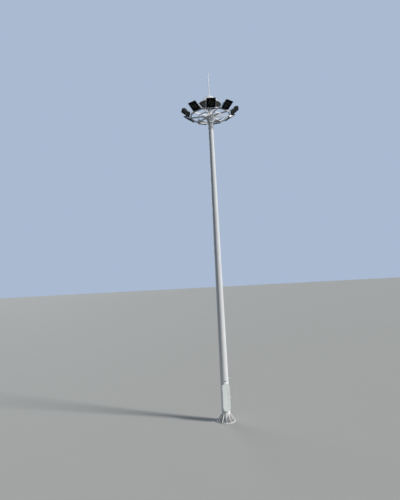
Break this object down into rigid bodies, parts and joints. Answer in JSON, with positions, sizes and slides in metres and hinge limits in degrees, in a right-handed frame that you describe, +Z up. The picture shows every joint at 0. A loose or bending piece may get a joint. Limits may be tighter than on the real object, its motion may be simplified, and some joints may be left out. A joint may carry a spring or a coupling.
{
  "type": "high mast floodlight tower",
  "caption": "Tapered round steel mast on a ribbed base flange with an access door, and on top a spoked ring of tilting floodlights, a conical rain hood and a lightning rod",
  "frame": {"origin": "middle of the underside of the base flange, at the centre of the anchor bolt circle", "axes": "+Z up along the mast, -Y out of the access door, +X to the right of a viewer who faces the door"},
  "size_m": [2.9827, 3.0148, 17.9],
  "materials": {
    "white_paint": "satin white coat over galvanised steel",
    "door_paint": "satin pale grey coat",
    "zinc_steel": "dull zinc coat",
    "lock_metal": "worn plating",
    "black_housing": "black powder coat on die casting",
    "lamp_glass": "clear toughened glass"
  },
  "bodies": {
    "root": {"base_flange": "white_paint", "base_ribs": "white_paint", "door_section": "white_paint", "door_frame": "white_paint", "door_hinge_frame_leaves": "zinc_steel", "lower_shaft": "white_paint", "upper_shaft": "white_paint", "head_sleeve": "white_paint", "bracket_collar": "white_paint", "hub_ring": "white_paint", "bracket_gussets": "white_paint", "ring_spokes": "white_paint", "ring_hoop": "white_paint", "outer_ring_1": "white_paint", "outer_ring_2": "white_paint", "outer_ring_3": "white_paint", "lamp_yokes": "zinc_steel", "sleeve_cap_plate": "white_paint", "hood_post": "white_paint", "hood_stays": "white_paint", "rain_hood": "white_paint", "rod_base": "zinc_steel", "lightning_rod": "zinc_steel"},
    "door": {"door_panel": "door_paint", "door_hinge_panel_leaves": "zinc_steel", "door_locks": "lock_metal", "door_hasp": "zinc_steel"},
    "lamp_1": {"lamp_1_housing": "black_housing", "lamp_1_glass": "lamp_glass"},
    "lamp_2": {"lamp_2_housing": "black_housing", "lamp_2_glass": "lamp_glass"},
    "lamp_3": {"lamp_3_housing": "black_housing", "lamp_3_glass": "lamp_glass"},
    "lamp_4": {"lamp_4_housing": "black_housing", "lamp_4_glass": "lamp_glass"},
    "lamp_5": {"lamp_5_housing": "black_housing", "lamp_5_glass": "lamp_glass"},
    "lamp_6": {"lamp_6_housing": "black_housing", "lamp_6_glass": "lamp_glass"},
    "lamp_7": {"lamp_7_housing": "black_housing", "lamp_7_glass": "lamp_glass"},
    "lamp_8": {"lamp_8_housing": "black_housing", "lamp_8_glass": "lamp_glass"},
    "lamp_9": {"lamp_9_housing": "black_housing", "lamp_9_glass": "lamp_glass"}
  },
  "joints": [
    {"name": "door_hinge", "type": "hinge", "parent": "root", "child": "door", "pos_m": [-0.199, -0.25551, 1.18], "axis": [0, 0, -1], "range_deg": [0, 120]},
    {"name": "lamp_1_tilt", "type": "hinge", "parent": "root", "child": "lamp_1", "pos_m": [-0.24806, -1.23024, 15.635], "axis": [0.9803, -0.1977, 0], "range_deg": [-40, 40]},
    {"name": "lamp_2_tilt", "type": "hinge", "parent": "root", "child": "lamp_2", "pos_m": [0.60076, -1.10187, 15.635], "axis": [0.878, 0.4787, 0], "range_deg": [-40, 40]},
    {"name": "lamp_3_tilt", "type": "hinge", "parent": "root", "child": "lamp_3", "pos_m": [1.16847, -0.45792, 15.635], "axis": [0.3649, 0.9311, 0], "range_deg": [-40, 40]},
    {"name": "lamp_4_tilt", "type": "hinge", "parent": "root", "child": "lamp_4", "pos_m": [1.18945, 0.40029, 15.635], "axis": [-0.319, 0.9478, 0], "range_deg": [-40, 40]},
    {"name": "lamp_5_tilt", "type": "hinge", "parent": "root", "child": "lamp_5", "pos_m": [0.65387, 1.07121, 15.635], "axis": [-0.8536, 0.521, 0], "range_deg": [-40, 40]},
    {"name": "lamp_6_tilt", "type": "hinge", "parent": "root", "child": "lamp_6", "pos_m": [-0.18767, 1.24089, 15.635], "axis": [-0.9888, -0.1495, 0], "range_deg": [-40, 40]},
    {"name": "lamp_7_tilt", "type": "hinge", "parent": "root", "child": "lamp_7", "pos_m": [-0.94139, 0.82995, 15.635], "axis": [-0.6613, -0.7501, 0], "range_deg": [-40, 40]},
    {"name": "lamp_8_tilt", "type": "hinge", "parent": "root", "child": "lamp_8", "pos_m": [-1.25463, 0.03066, 15.635], "axis": [-0.0244, -0.9997, 0], "range_deg": [-40, 40]},
    {"name": "lamp_9_tilt", "type": "hinge", "parent": "root", "child": "lamp_9", "pos_m": [-0.98081, -0.78297, 15.635], "axis": [0.6239, -0.7815, 0], "range_deg": [-40, 40]}
  ]
}
